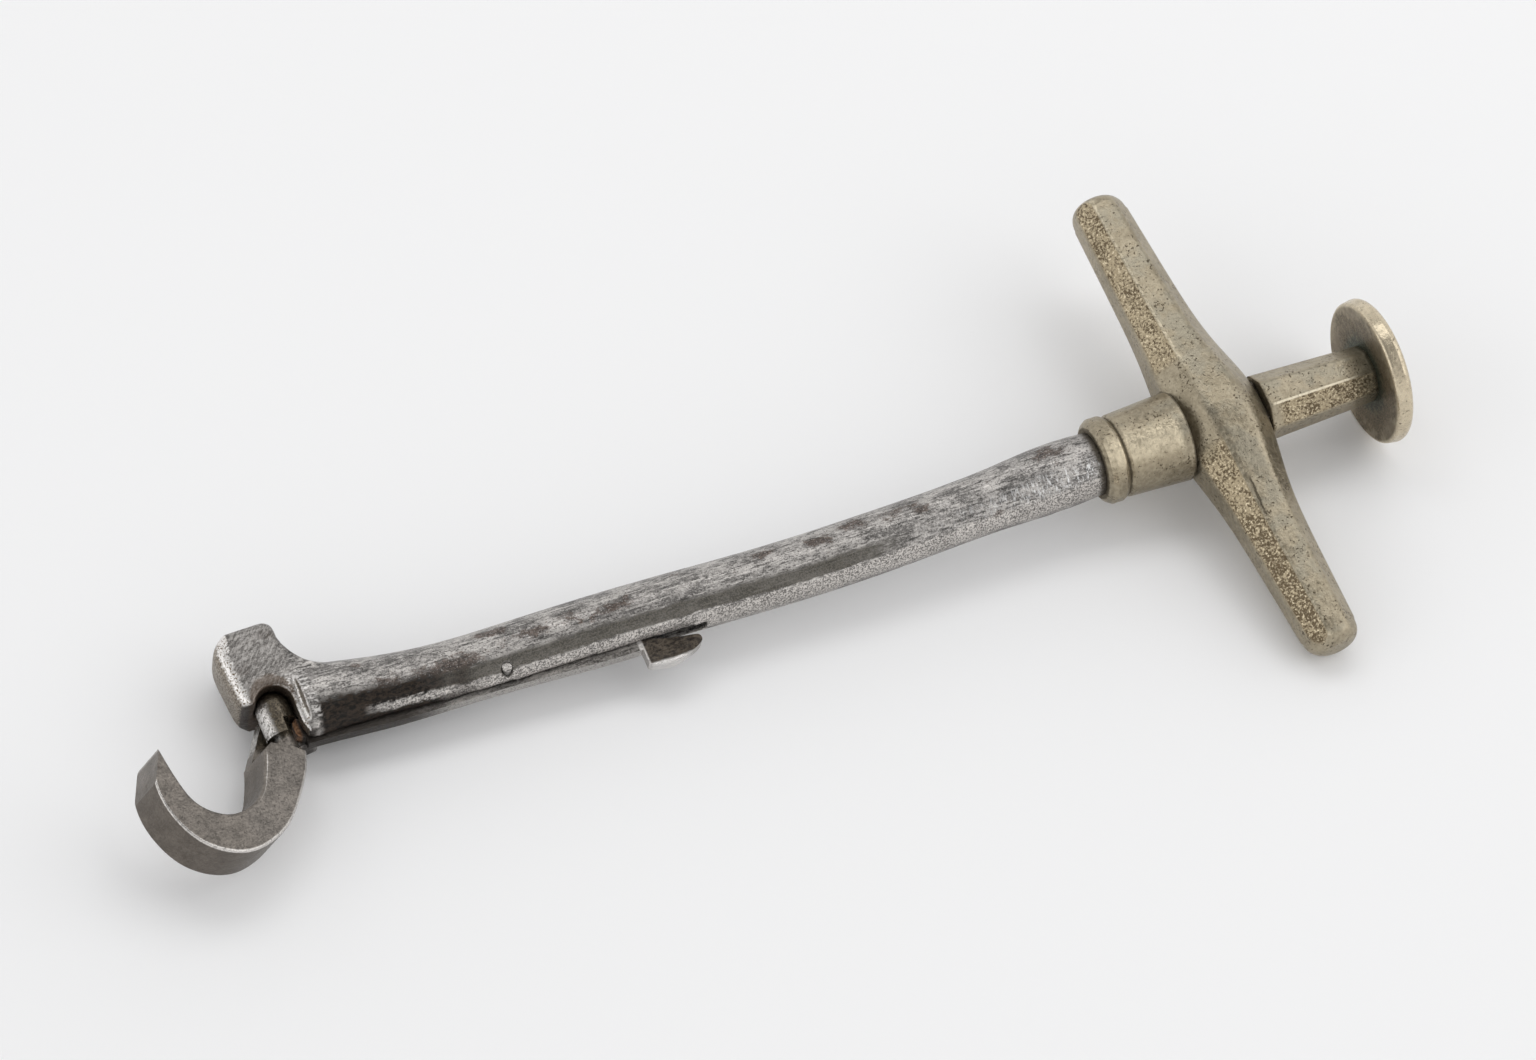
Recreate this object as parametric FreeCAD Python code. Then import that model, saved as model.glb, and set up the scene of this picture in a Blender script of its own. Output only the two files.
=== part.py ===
import FreeCAD, Part
import math
import os

from FreeCAD import Rotation, Vector

# A dental key with a steel shaft, a swivelling claw and a cast crossbar handle.
# Millimetres. The tool is drawn on its own axes and then laid down as it rests on a table.
# Tool axes: X runs along the handle from the claw to the palm disc, Y along the crossbar,
# Z square to both. The zero point is on the handle's axis at the crossbar's middle.

# Fits
RUNNING_GAP = 0.06
SEAT_GAP = 0.04
SLOT_GAP = 0.12
SOCKET_GAP = 0.18
FLUSH_STEP = 0.02

# Crossbar: octagonal arms that taper to their tips and swell into the hub
UPPER_REACH = 34.0
LOWER_REACH = 33.6
ARM_TIP_FLATS = 6.8
ARM_TAPER = 0.07
HUB_SWELL = 3.4
HUB_SPREAD = 8.8
HUB_OFFSET = 0.5
ARM_LEAN = 0.05
ARM_STEP = 3.0
ARM_TIP_ROUND = 2.8
HUB_FRONT = -5.3
HUB_BACK = 6.3
TANG_SIDE = 5.4

# Ferrule
FERRULE_LENGTH = 11.6
FERRULE_BACK_RADIUS = 5.8
FERRULE_FRONT_RADIUS = 5.35
COLLAR_RADIUS = 5.55
COLLAR_LENGTH = 2.5
COLLAR_BEVEL = 1.0
GROOVE_WIDTH = 0.9
GROOVE_DEPTH = 0.6

# Stem
STEM_LENGTH = 15.2
STEM_FRONT_FLATS = 8.1
STEM_BACK_FLATS = 6.9
THREAD_RADIUS = 2.1
THREAD_LENGTH = 9.0
TENON_RADIUS = 1.8

# Palm disc
DISC_RADIUS = 9.5
DISC_THICKNESS = 2.4
DISC_FRONT_ROUND = 0.55
DISC_BACK_ROUND = 0.9
DISC_DISH = 0.25

# Shaft: places along X of its round sections, the height of their middles along Y, and radii
SHAFT_SEAT_RADIUS = 4.05
SHAFT_SECTIONS = (
    (-17.0, 0.0, 4.05),
    (-30.0, -0.35, 3.98),
    (-46.0, -0.85, 3.92),
    (-62.0, -0.75, 3.92),
    (-78.0, -0.05, 3.98),
    (-94.0, 0.30, 3.98),
    (-106.0, 0.75, 3.95),
    (-113.0, 1.50, 4.25),
    (-118.0, 2.10, 4.72),
    (-122.0, 2.40, 5.00),
)
FLARE_DROP = -0.4

# Bolster, the rounded block at the shaft's front end
BOLSTER_FRONT = -129.5
BOLSTER_LEAN = 0.7
BOLSTER_TOP = 13.3
BOLSTER_FLOOR = 3.2
BOLSTER_BACK = -121.9
BOLSTER_NEAR = 3.8
BOLSTER_FAR = -4.8
BOLSTER_ROUND = 1.3
BOLSTER_FRONT_CORNER = 2.4
BOLSTER_BACK_CORNER = 1.4
THROAT_INSET = 0.4
THROAT_AXIS = 2.2
THROAT_DEPTH = 2.5
THROAT_CURVE = (
    (-122.1, 11.9),
    (-121.6, 10.1),
    (-119.9, 7.9),
    (-117.1, 6.5),
    (-113.5, 5.6),
)
EAR_DROP = -2.4
EAR_WALL = 1.3
EAR_REACH = 2.5
EAR_INSET = 0.4
EAR_NEAR_INSET = 0.6

# Claw pivot: its peg stands in the socket under the bolster, along Y
PEG_X = -125.35
PEG_Z = 0.6
PEG_RADIUS = 2.15
PEG_TOP = 5.0
PEG_FOOT = -0.9
PEG_NOTCH_TOP = 0.95
NOTCH_FROM = -79.0
NOTCH_TO = 76.0
NECK_RADIUS = 1.2
NECK_FLOOR = -4.6
NECK_SINK = 0.5

# Window in the bolster's near side that shows the peg: an arch over it
WINDOW_ARCH_DROP = 2.3
WINDOW_CROWN_DROP = 0.2
WINDOW_REAR_FOOT = -0.6
WINDOW_BEHIND = 0.2

# Claw: a flat bar bent into a hook, turned about the peg by its resting angle
CLAW_TURN = 25.0
CLAW_WIDTH = 6.0
CLAW_NEAR = 2.2
CLAW_EDGE_ROUND = 0.4
CHEEK_TOP = 2.75
CHEEK_THICKNESS = 1.9
CHEEK_OUTLINE = (
    (0.4, 5.0),
    (5.1, 4.9),
    (4.7, 3.1),
    (3.4, 1.3),
    (1.7, -1.2),
    (0.6, -CHEEK_TOP),
    (-0.5, -CHEEK_TOP),
    (-0.8, 2.0),
)

# Claw's side view as places along the hook and down from the zero height
CLAW_BACK_CURVE = (
    (-0.75, 4.35),
    (0.05, 6.27),
    (1.35, 8.30),
    (3.98, 11.65),
    (5.80, 13.40),
    (8.60, 15.05),
    (12.14, 16.02),
    (15.70, 15.45),
    (18.47, 13.71),
    (20.40, 10.88),
    (21.25, 8.20),
    (21.30, 5.50),
)
CLAW_TIP = (19.05, 1.10)
CLAW_INNER_CURVE = (
    (19.05, 1.10),
    (18.60, 3.60),
    (18.00, 6.20),
    (17.10, 8.40),
    (15.60, 9.85),
    (12.60, 10.80),
    (9.80, 10.10),
    (7.60, 8.50),
    (6.30, 6.40),
    (5.45, 4.60),
    (4.90, 3.10),
)
CLAW_SHOULDER = ((3.70, 2.35), (1.15, 3.05), (-0.50, 4.00))

# Latch lever, a blade in a slot along the shaft's underside: its lower edge as places along X and Y
LEVER_THICKNESS = 1.7
LEVER_UNDERSIDE = (
    (-122.85, -2.75),
    (-118.00, -3.05),
    (-112.00, -3.55),
    (-103.00, -3.85),
    (-94.00, -4.20),
    (-86.00, -4.70),
    (-80.10, -4.90),
)
LEVER_REAR_EDGE = ((-78.0, -4.0), (-88.0, -2.6))
LEVER_EYE_EDGE = ((-94.2, -1.0), (-100.2, -0.9))
LEVER_FRONT_EDGE = ((-112.0, -1.3), (-120.5, -0.9))
NOSE_TIP = -123.85
NOSE_TOP = 0.8
NOSE_FOOT = -1.6
NOSE_ROUND = 0.7
SLOT_BACK = -71.3
SLOT_FLOOR = 0.4
SLOT_FLOOR_FRONT = 1.5
SLOT_STEP_AT = -112.0
PAD_FRONT = -80.1
PAD_FOOT = -7.1
PAD_CURVE = (
    (-79.8, -7.10),
    (-78.0, -7.50),
    (-76.4, -7.55),
    (-75.0, -7.15),
    (-73.6, -6.65),
    (-72.8, -6.10),
)
PAD_REAR_TOP = (-73.3, -5.1)
PAD_DISH_RADIUS = 9.0
PAD_DISH_DEPTH = 0.4
PAD_DISH_BEHIND = 3.8
PAD_DISH_RISE = 1.8
PAD_FRONT_STEP = 0.25

# Pivot pin of the lever
PIN_X = -97.2
PIN_Y = -2.3
PIN_RADIUS = 0.6

# Leaf spring under the lever's rear half, and its screw
LEAF_FRONT = -93.6
LEAF_BACK = -76.5
LEAF_FLAT = 3.6
LEAF_TIP_DROP = 3.5
LEAF_BEND = (-84.5, -1.0)
LEAF_THICKNESS = 0.35
LEAF_WIDTH = 1.5
SCREW_X = -91.8
SCREW_SHANK_RADIUS = 0.4
SCREW_HEAD_RADIUS = 0.7
SCREW_HEAD_LENGTH = 0.4
SCREW_LENGTH = 2.2
SCREW_HOLE_SPARE = 0.3
SCREW_SLOT_DEPTH = 0.15
SCREW_SLOT_WIDTH = 0.2

# How the tool lies on the table: the far arm raised, the disc's end raised
LIE_ROLL = 9.67
LIE_PITCH = 1.79

X = Vector(1, 0, 0)
Y = Vector(0, 1, 0)
Z = Vector(0, 0, 1)

FERRULE_FRONT = HUB_FRONT - FERRULE_LENGTH
STEM_BACK = HUB_BACK + STEM_LENGTH


def cylinder(start, axis, radius, length):
    return Part.makeCylinder(radius, length, start, axis)


def box(x0, x1, y0, y1, z0, z1):
    return Part.makeBox(x1 - x0, y1 - y0, z1 - z0, Vector(x0, y0, z0))


def outline(items):
    """A closed wire through points. Between them, a pair is an arc's middle and end,
    and a list is the rest of a smooth curve."""
    edges = []
    here = items[0]
    for item in items[1:]:
        if isinstance(item, list):
            curve = Part.BSplineCurve()
            curve.interpolate([here] + item)
            end = item[-1]
            edges.append(curve.toShape())
        elif isinstance(item, tuple):
            middle, end = item
            edges.append(Part.Arc(here, middle, end).toShape())
        else:
            end = item
            edges.append(Part.makeLine(here, end))
        here = end
    if here.distanceToPoint(items[0]) > 1e-6:
        edges.append(Part.makeLine(here, items[0]))
    return Part.Wire(edges)


def slab(items, direction):
    return Part.Face(outline(items)).extrude(direction)


def turned(points):
    """A solid of revolution about the tool's X axis from points (x, radius)."""
    wire = Part.makePolygon([Vector(x, r, 0) for x, r in points + points[:1]])
    return Part.Face(wire).revolve(Vector(), X, 360)


def octagon(centre, flats, first, second):
    """An octagon's wire, its flats square to the two directions."""
    reach = flats / 2 / math.cos(math.pi / 8)
    points = []
    for corner in range(9):
        angle = math.radians(22.5 + 45 * corner)
        points.append(centre + first * (reach * math.cos(angle)) + second * (reach * math.sin(angle)))
    return Part.makePolygon(points)


def rounded(shape, radius, wanted):
    """The shape with a fillet on each edge that the test picks."""
    edges = [edge for edge in shape.Edges if wanted(edge)]
    return shape.makeFillet(radius, edges)


def arm_section(y):
    """Width across the flats at one place along the crossbar, and its middle's place along X."""
    reach = UPPER_REACH if y > 0 else LOWER_REACH
    swell = math.exp(-(y / HUB_SPREAD) ** 2)
    flats = ARM_TIP_FLATS + ARM_TAPER * (reach - abs(y)) + HUB_SWELL * swell
    return flats, HUB_OFFSET * swell - ARM_LEAN * y


def tip_envelope(y_end):
    """A long body that rounds off one end of the crossbar and leaves the rest alone."""
    side = 1 if y_end > 0 else -1
    shoulder = y_end - side * ARM_TIP_ROUND
    flats, x = arm_section(shoulder)
    radius = flats / 2 / math.cos(math.pi / 8) + 0.1
    slope = ARM_TIP_ROUND * math.sqrt(0.5)
    edge = radius - ARM_TIP_ROUND
    wide = 30
    profile = outline([
        Vector(x, y_end, 0),
        Vector(x + edge, y_end, 0),
        (Vector(x + edge + slope, shoulder + side * slope, 0), Vector(x + radius, shoulder, 0)),
        Vector(x + wide, shoulder - side * 3 * wide, 0),
        Vector(x, shoulder - side * 3 * wide, 0),
    ])
    return Part.Face(profile).revolve(Vector(x, 0, 0), Y, 360)


def make_crossbar():
    """Two tapered octagonal arms that swell into a hub, pierced by a square hole."""
    count = round((UPPER_REACH + LOWER_REACH) / ARM_STEP)
    wires = []
    for number in range(count + 1):
        y = -LOWER_REACH + (UPPER_REACH + LOWER_REACH) * number / count
        flats, x = arm_section(y)
        wires.append(octagon(Vector(x, y, 0), flats, Z, X))
    bar = Part.makeLoft(wires, True, False)
    for end in (-LOWER_REACH, UPPER_REACH):
        bar = bar.common(tip_envelope(end))
    far_out = 60
    for x0, x1 in ((-far_out, HUB_FRONT), (HUB_BACK, far_out)):
        bar = bar.cut(box(x0, x1, -far_out, far_out, -far_out, far_out))
    half = TANG_SIDE / 2 + SEAT_GAP
    hole = box(HUB_FRONT - 1, HUB_BACK + 1, -half, half, -half, half)
    return bar.cut(hole)


def make_ferrule():
    """A turned sleeve with a collar in front, parted by a V groove."""
    front = FERRULE_FRONT
    bore = SHAFT_SEAT_RADIUS + SEAT_GAP
    groove_start = front + COLLAR_LENGTH
    groove_end = groove_start + GROOVE_WIDTH
    return turned([
        (front, bore),
        (front, COLLAR_RADIUS - COLLAR_BEVEL),
        (front + COLLAR_BEVEL * 0.45, COLLAR_RADIUS - COLLAR_BEVEL * 0.35),
        (front + COLLAR_BEVEL, COLLAR_RADIUS),
        (groove_start - 0.3, COLLAR_RADIUS),
        (groove_start, COLLAR_RADIUS - 0.15),
        (groove_start + GROOVE_WIDTH / 2, COLLAR_RADIUS - GROOVE_DEPTH),
        (groove_end, FERRULE_FRONT_RADIUS),
        (HUB_FRONT, FERRULE_BACK_RADIUS),
        (HUB_FRONT, bore),
    ])


def make_stem():
    """An octagonal nut on the tang's thread, with a tenon that holds the disc."""
    front = octagon(Vector(HUB_BACK, 0, 0), STEM_FRONT_FLATS, Y, Z)
    back = octagon(Vector(STEM_BACK, 0, 0), STEM_BACK_FLATS, Y, Z)
    body = Part.makeLoft([front, back], True, True)
    tenon = cylinder(Vector(STEM_BACK, 0, 0), X, TENON_RADIUS, DISC_THICKNESS - DISC_DISH)
    bore = cylinder(Vector(HUB_BACK, 0, 0), X, THREAD_RADIUS + SEAT_GAP, THREAD_LENGTH + 0.5)
    return body.fuse(tenon).cut(bore)


def make_disc():
    """The palm disc: a rounded rim round a slightly dished front face."""
    front = STEM_BACK - DISC_DISH
    back = front + DISC_THICKNESS
    bore = TENON_RADIUS + SEAT_GAP
    seat = STEM_BACK_FLATS / 2 / math.cos(math.pi / 8) + 0.3
    a = DISC_FRONT_ROUND
    b = DISC_BACK_ROUND
    diagonal = math.sqrt(0.5)
    rim = Vector(front + a, DISC_RADIUS - 0.15, 0)
    waist = Vector(back - b, DISC_RADIUS, 0)
    profile = outline([
        Vector(front + DISC_DISH, bore, 0),
        Vector(front + DISC_DISH, seat, 0),
        Vector(front, DISC_RADIUS - a - 0.15, 0),
        (Vector(front + a * (1 - diagonal), DISC_RADIUS - 0.15 - a * (1 - diagonal), 0), rim),
        waist,
        (Vector(back - b * (1 - diagonal), DISC_RADIUS - b * (1 - diagonal), 0),
         Vector(back, DISC_RADIUS - b, 0)),
        Vector(back, bore, 0),
    ])
    return Part.Face(profile).revolve(Vector(), X, 360)


def shaft_rod():
    """The round shaft: straight in the ferrule, then gently bowed, flaring at its front."""
    wires = []
    for x, y, radius in SHAFT_SECTIONS:
        lowered = FLARE_DROP * max(0.0, radius - SHAFT_SEAT_RADIUS)
        circle = Part.makeCircle(radius, Vector(x, y, lowered), X)
        wires.append(Part.Wire(circle))
    rod = Part.makeLoft(wires, True, False)
    first = SHAFT_SECTIONS[0][0]
    seat = cylinder(Vector(first, 0, 0), X, SHAFT_SEAT_RADIUS, HUB_FRONT - first)
    half = TANG_SIDE / 2
    tang = box(HUB_FRONT, HUB_BACK, -half, half, -half, half)
    thread = cylinder(Vector(HUB_BACK, 0, 0), X, THREAD_RADIUS, THREAD_LENGTH)
    return rod.fuse([seat, tang, thread])


def bolster_block():
    """The bolster's rounded head, the throat behind it and the ear beside the socket."""
    far = BOLSTER_FAR
    head = slab([
        Vector(BOLSTER_FRONT, BOLSTER_FLOOR, far),
        Vector(BOLSTER_FRONT - BOLSTER_LEAN, BOLSTER_TOP, far),
        Vector(BOLSTER_BACK, BOLSTER_TOP, far),
        Vector(BOLSTER_BACK, BOLSTER_FLOOR, far),
    ], Z * (BOLSTER_NEAR - far))

    def front_corner(edge):
        size = edge.BoundBox
        return size.ZLength > 1 and size.Center.y > BOLSTER_TOP - 0.1 and size.Center.x < BOLSTER_FRONT

    def back_corner(edge):
        size = edge.BoundBox
        return size.ZLength > 1 and size.Center.y > BOLSTER_TOP - 0.1 and size.Center.x > BOLSTER_BACK - 0.1

    def face_edge(edge):
        size = edge.BoundBox
        return size.ZLength < 0.01 and size.Center.y > BOLSTER_FLOOR + 0.1
    head = rounded(head, BOLSTER_FRONT_CORNER, front_corner)
    head = rounded(head, BOLSTER_BACK_CORNER, back_corner)
    head = rounded(head, BOLSTER_ROUND, face_edge)
    throat_far = far + THROAT_INSET
    curve = [Vector(x, y, throat_far) for x, y in THROAT_CURVE]
    end = curve[-1]
    inside = BOLSTER_BACK - THROAT_DEPTH
    throat = slab([
        Vector(inside, BOLSTER_FLOOR, throat_far),
        Vector(inside, curve[0].y, throat_far),
        curve[0],
        curve[1:],
        Vector(end.x, THROAT_AXIS, throat_far),
        Vector(BOLSTER_BACK, THROAT_AXIS, throat_far),
    ], Z * (BOLSTER_NEAR - far - 2 * THROAT_INSET))
    axis_line = Vector(0, THROAT_AXIS, 0)
    bell = Part.Face(outline([
        Vector(inside, THROAT_AXIS, 0),
        Vector(inside, curve[0].y, 0),
        Vector(curve[0].x, curve[0].y, 0),
        [Vector(x, y, 0) for x, y in THROAT_CURVE[1:]],
        Vector(end.x, THROAT_AXIS, 0),
    ])).revolve(axis_line, X, 360)
    throat = throat.common(bell)
    ear_far = far + EAR_INSET
    ear = slab([
        Vector(PEG_X + EAR_WALL, BOLSTER_FLOOR, ear_far),
        Vector(PEG_X + EAR_WALL, EAR_DROP, ear_far),
        Vector(BOLSTER_BACK + 0.6, EAR_DROP + 0.4, ear_far),
        Vector(BOLSTER_BACK + EAR_REACH, 1.0, ear_far),
        Vector(BOLSTER_BACK + EAR_REACH, PEG_TOP, ear_far),
        Vector(PEG_X + EAR_WALL, BOLSTER_FLOOR + 2.0, ear_far),
    ], Z * (BOLSTER_NEAR - EAR_NEAR_INSET - ear_far))
    return head.fuse([throat, ear])


def peg_envelope(gap):
    """The peg's space: a round bore with a domed end."""
    radius = PEG_RADIUS + gap
    foot = Vector(PEG_X, EAR_DROP - 3, PEG_Z)
    dome_start = PEG_TOP + gap - radius
    bore = cylinder(foot, Y, radius, dome_start - foot.y)
    dome = Part.makeSphere(radius, Vector(PEG_X, dome_start, PEG_Z))
    return bore.fuse(dome)


def make_shaft():
    """Shaft and bolster in one forging, with the claw's socket and the lever's slot."""
    body = shaft_rod().fuse(bolster_block())
    socket = peg_envelope(SOCKET_GAP)
    left = PEG_X - PEG_RADIUS - SOCKET_GAP
    right = PEG_X + PEG_RADIUS + SOCKET_GAP
    below = EAR_DROP - 3
    arch = PEG_TOP - WINDOW_ARCH_DROP
    window = slab([
        Vector(left, below, PEG_Z),
        Vector(left, arch, PEG_Z),
        (Vector(PEG_X, PEG_TOP - WINDOW_CROWN_DROP, PEG_Z), Vector(right, arch, PEG_Z)),
        Vector(right, WINDOW_REAR_FOOT, PEG_Z),
        Vector(BOLSTER_BACK + WINDOW_BEHIND, below, PEG_Z),
    ], Z * (2 * BOLSTER_NEAR))
    half_slot = LEVER_THICKNESS / 2 + SLOT_GAP
    deep = 3 * SHAFT_SEAT_RADIUS
    slot = slab([
        Vector(BOLSTER_FRONT, -deep, -half_slot),
        Vector(BOLSTER_FRONT, SLOT_FLOOR_FRONT, -half_slot),
        Vector(SLOT_STEP_AT, SLOT_FLOOR, -half_slot),
        Vector(SLOT_BACK, SLOT_FLOOR, -half_slot),
        Vector(SLOT_BACK, -deep, -half_slot),
    ], Z * (2 * half_slot))
    pin_hole = cylinder(Vector(PIN_X, PIN_Y, -6), Z, PIN_RADIUS + SEAT_GAP, 12)
    screw_bore = SCREW_SHANK_RADIUS + SEAT_GAP
    screw_depth = SCREW_LENGTH + SCREW_HOLE_SPARE
    screw_hole = cylinder(Vector(SCREW_X, SLOT_FLOOR - 0.1, 0), Y, screw_bore, screw_depth)
    return body.cut([socket, window, slot, pin_hole, screw_hole])


def claw_point(along, drop, depth):
    """A point of the claw: along the hook, down the peg's axis, and out towards its near face."""
    turn = math.radians(CLAW_TURN)
    reach = Vector(-math.cos(turn), 0, math.sin(turn))
    outward = Vector(math.sin(turn), 0, math.cos(turn))
    return Vector(PEG_X, 0, PEG_Z) + reach * along - Y * drop + outward * depth


def make_claw():
    """The hook, its slanted shoulder and cheek, and the notched peg that it turns on."""
    def near(place):
        return claw_point(place[0], place[1], CLAW_NEAR)

    inward = claw_point(0, 0, -1) - claw_point(0, 0, 0)
    hook = slab([
        near(CLAW_BACK_CURVE[0]),
        [near(place) for place in CLAW_BACK_CURVE[1:]],
        near(CLAW_TIP),
        [near(place) for place in CLAW_INNER_CURVE[1:]],
    ] + [near(place) for place in CLAW_SHOULDER], inward * CLAW_WIDTH)

    def long_edge(edge):
        return edge.BoundBox.YLength > 5.0 and edge.Length > 9.0
    hook = rounded(hook, CLAW_EDGE_ROUND, long_edge)
    cheek_depth = CLAW_NEAR - CLAW_WIDTH + CHEEK_THICKNESS

    def cheek_point(along, drop):
        return claw_point(along, drop, cheek_depth)

    cheek = slab([cheek_point(*place) for place in CHEEK_OUTLINE], inward * (CHEEK_THICKNESS - FLUSH_STEP))
    floor = Vector(PEG_X, NECK_FLOOR, PEG_Z)
    neck = cylinder(floor, Y, NECK_RADIUS, PEG_FOOT - floor.y + NECK_SINK)
    peg = cylinder(Vector(PEG_X, PEG_FOOT, PEG_Z), Y, PEG_RADIUS, PEG_TOP - PEG_RADIUS - PEG_FOOT)
    dome = Part.makeSphere(PEG_RADIUS, Vector(PEG_X, PEG_TOP - PEG_RADIUS, PEG_Z))
    claw = hook.fuse([cheek, neck, peg.fuse(dome).cut(peg_notch())])
    return claw.removeSplitter()


def peg_notch():
    """The part of the peg's rim that is cut away so that the lever's nose can stand in it."""
    reach = PEG_RADIUS + 1
    points = [Vector(PEG_X, PEG_FOOT - 1, PEG_Z)]
    steps = 8
    for step in range(steps + 1):
        angle = math.radians(NOTCH_FROM + (NOTCH_TO - NOTCH_FROM) * step / steps)
        points.append(points[0] + X * (reach * math.cos(angle)) - Z * (reach * math.sin(angle)))
    sector = slab(points, Y * (PEG_NOTCH_TOP - PEG_FOOT + 1))
    core = cylinder(points[0], Y, NECK_RADIUS, 6)
    return sector.cut(core)


def make_lever():
    """The blade with its upturned nose in front and the dished thumb pad behind."""
    side = -LEVER_THICKNESS / 2
    lower = [Vector(x, y, side) for x, y in LEVER_UNDERSIDE]
    pad = [Vector(x, y, side) for x, y in PAD_CURVE]
    rear_x, rear_y = PAD_REAR_TOP
    tip = NOSE_ROUND * (1 - math.sqrt(0.5))
    blade = slab([
        Vector(NOSE_TIP + NOSE_ROUND, NOSE_TOP, side),
        (Vector(NOSE_TIP + tip, NOSE_TOP - tip, side), Vector(NOSE_TIP, NOSE_TOP - NOSE_ROUND, side)),
        Vector(NOSE_TIP, NOSE_FOOT + NOSE_ROUND, side),
        (Vector(NOSE_TIP + tip, NOSE_FOOT + tip, side), Vector(NOSE_TIP + NOSE_ROUND, NOSE_FOOT, side)),
        Vector(lower[0].x, NOSE_FOOT - 0.2, side),
        lower[0],
        lower[1:],
        Vector(PAD_FRONT, PAD_FOOT + PAD_FRONT_STEP, side),
        pad[0],
        pad[1:],
        (Vector(rear_x + 0.55, rear_y - 0.35, side), Vector(rear_x, rear_y, side)),
        [Vector(x, y, side) for x, y in LEVER_REAR_EDGE],
        Vector(*LEVER_EYE_EDGE[0], side),
        Vector(*LEVER_EYE_EDGE[1], side),
        tuple(Vector(x, y, side) for x, y in LEVER_FRONT_EDGE),
    ], Z * LEVER_THICKNESS)
    dish_height = PAD_DISH_RADIUS - PAD_DISH_DEPTH - side
    dish_middle = Vector(PAD_FRONT + PAD_DISH_BEHIND, PAD_FOOT + PAD_DISH_RISE, dish_height)
    dish = Part.makeSphere(PAD_DISH_RADIUS, dish_middle)
    eye = cylinder(Vector(PIN_X, PIN_Y, -3), Z, PIN_RADIUS + RUNNING_GAP, 6)
    return blade.cut([dish, eye])


def make_pin():
    """The lever's pivot: a rivet through the shaft, its heads dressed flush in the flanks."""
    nearest = min(SHAFT_SECTIONS, key=lambda section: abs(section[0] - PIN_X))
    centre, radius = nearest[1:]
    half = math.sqrt(radius ** 2 - (PIN_Y - centre) ** 2)
    return cylinder(Vector(PIN_X, PIN_Y, -half), Z, PIN_RADIUS, 2 * half)


def make_spring():
    """A leaf spring, screwed to the slot's floor, that bears on the lever's rear half."""
    side = -LEAF_WIDTH / 2
    top = SLOT_FLOOR
    under = top - LEAF_THICKNESS
    tip = top - LEAF_TIP_DROP
    bend_x, bend_y = LEAF_BEND
    flat_end = LEAF_FRONT + LEAF_FLAT
    leaf = slab([
        Vector(LEAF_FRONT, top, side),
        Vector(flat_end, top, side),
        (Vector(bend_x, bend_y, side), Vector(LEAF_BACK, tip, side)),
        Vector(LEAF_BACK, tip - LEAF_THICKNESS, side),
        (Vector(bend_x, bend_y - LEAF_THICKNESS, side), Vector(flat_end, under, side)),
        Vector(LEAF_FRONT, under, side),
    ], Z * LEAF_WIDTH)
    return leaf.cut(cylinder(Vector(SCREW_X, under - 1, 0), Y, SCREW_SHANK_RADIUS + SEAT_GAP, 3))


def make_screw():
    """The spring's screw: a cheese head under the leaf and a shank in the shaft."""
    seat = SLOT_FLOOR - LEAF_THICKNESS
    shank = cylinder(Vector(SCREW_X, seat, 0), Y, SCREW_SHANK_RADIUS, SCREW_LENGTH)
    face = seat - SCREW_HEAD_LENGTH
    head = cylinder(Vector(SCREW_X, face, 0), Y, SCREW_HEAD_RADIUS, SCREW_HEAD_LENGTH)
    half = SCREW_SLOT_WIDTH / 2
    slot = box(SCREW_X - 1, SCREW_X + 1, face - 1, face + SCREW_SLOT_DEPTH, -half, half)
    return shank.fuse(head).cut(slot)


def lie_down(shape):
    """The shape turned from the tool's own axes to the way it lies on the table."""
    turned_shape = shape.copy()
    turned_shape.rotate(Vector(), X, LIE_ROLL)
    turned_shape.rotate(Vector(), Y, -LIE_PITCH)
    return turned_shape


def main():
    pieces = {
        "shaft": make_shaft(),
        "claw": make_claw(),
        "latch_lever": make_lever(),
        "latch_pin": make_pin(),
        "latch_spring": make_spring(),
        "spring_screw": make_screw(),
        "crossbar": make_crossbar(),
        "ferrule": make_ferrule(),
        "stem": make_stem(),
        "palm_disc": make_disc(),
    }
    lying = {name: lie_down(shape) for name, shape in pieces.items()}
    whole = Part.makeCompound(list(lying.values())).optimalBoundingBox(False, False)
    shift = Vector(-(whole.XMin + whole.XMax) / 2, -(whole.YMin + whole.YMax) / 2, -whole.ZMin)
    os.makedirs("parts", exist_ok=True)
    for name, shape in lying.items():
        shape.translate(shift)
        shape.exportStep(os.path.join("parts", name + ".step"))
        print(name, "solids", len(shape.Solids), "valid", shape.isValid(), "volume", round(shape.Volume, 2))
    print("shift", shift, "size", whole.XLength, whole.YLength, whole.ZLength)
    return shift


main()
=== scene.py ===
"""Looks for the dental key: worn steel and nickel silver on a pale studio table."""

import math

import bmesh
import bpy
from mathutils import Euler, Matrix, Vector


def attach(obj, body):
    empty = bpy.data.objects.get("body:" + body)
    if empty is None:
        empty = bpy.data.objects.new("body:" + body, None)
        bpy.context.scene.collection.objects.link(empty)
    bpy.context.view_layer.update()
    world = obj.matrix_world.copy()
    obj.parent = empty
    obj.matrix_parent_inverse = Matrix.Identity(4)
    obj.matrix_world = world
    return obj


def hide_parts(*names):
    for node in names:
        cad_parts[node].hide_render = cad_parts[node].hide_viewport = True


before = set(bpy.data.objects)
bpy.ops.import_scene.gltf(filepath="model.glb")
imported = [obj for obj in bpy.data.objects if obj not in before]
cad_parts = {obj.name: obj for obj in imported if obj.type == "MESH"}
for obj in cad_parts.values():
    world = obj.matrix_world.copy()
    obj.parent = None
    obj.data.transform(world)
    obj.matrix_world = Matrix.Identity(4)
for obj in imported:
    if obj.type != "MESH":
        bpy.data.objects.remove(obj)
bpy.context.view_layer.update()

MM = 0.001

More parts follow.
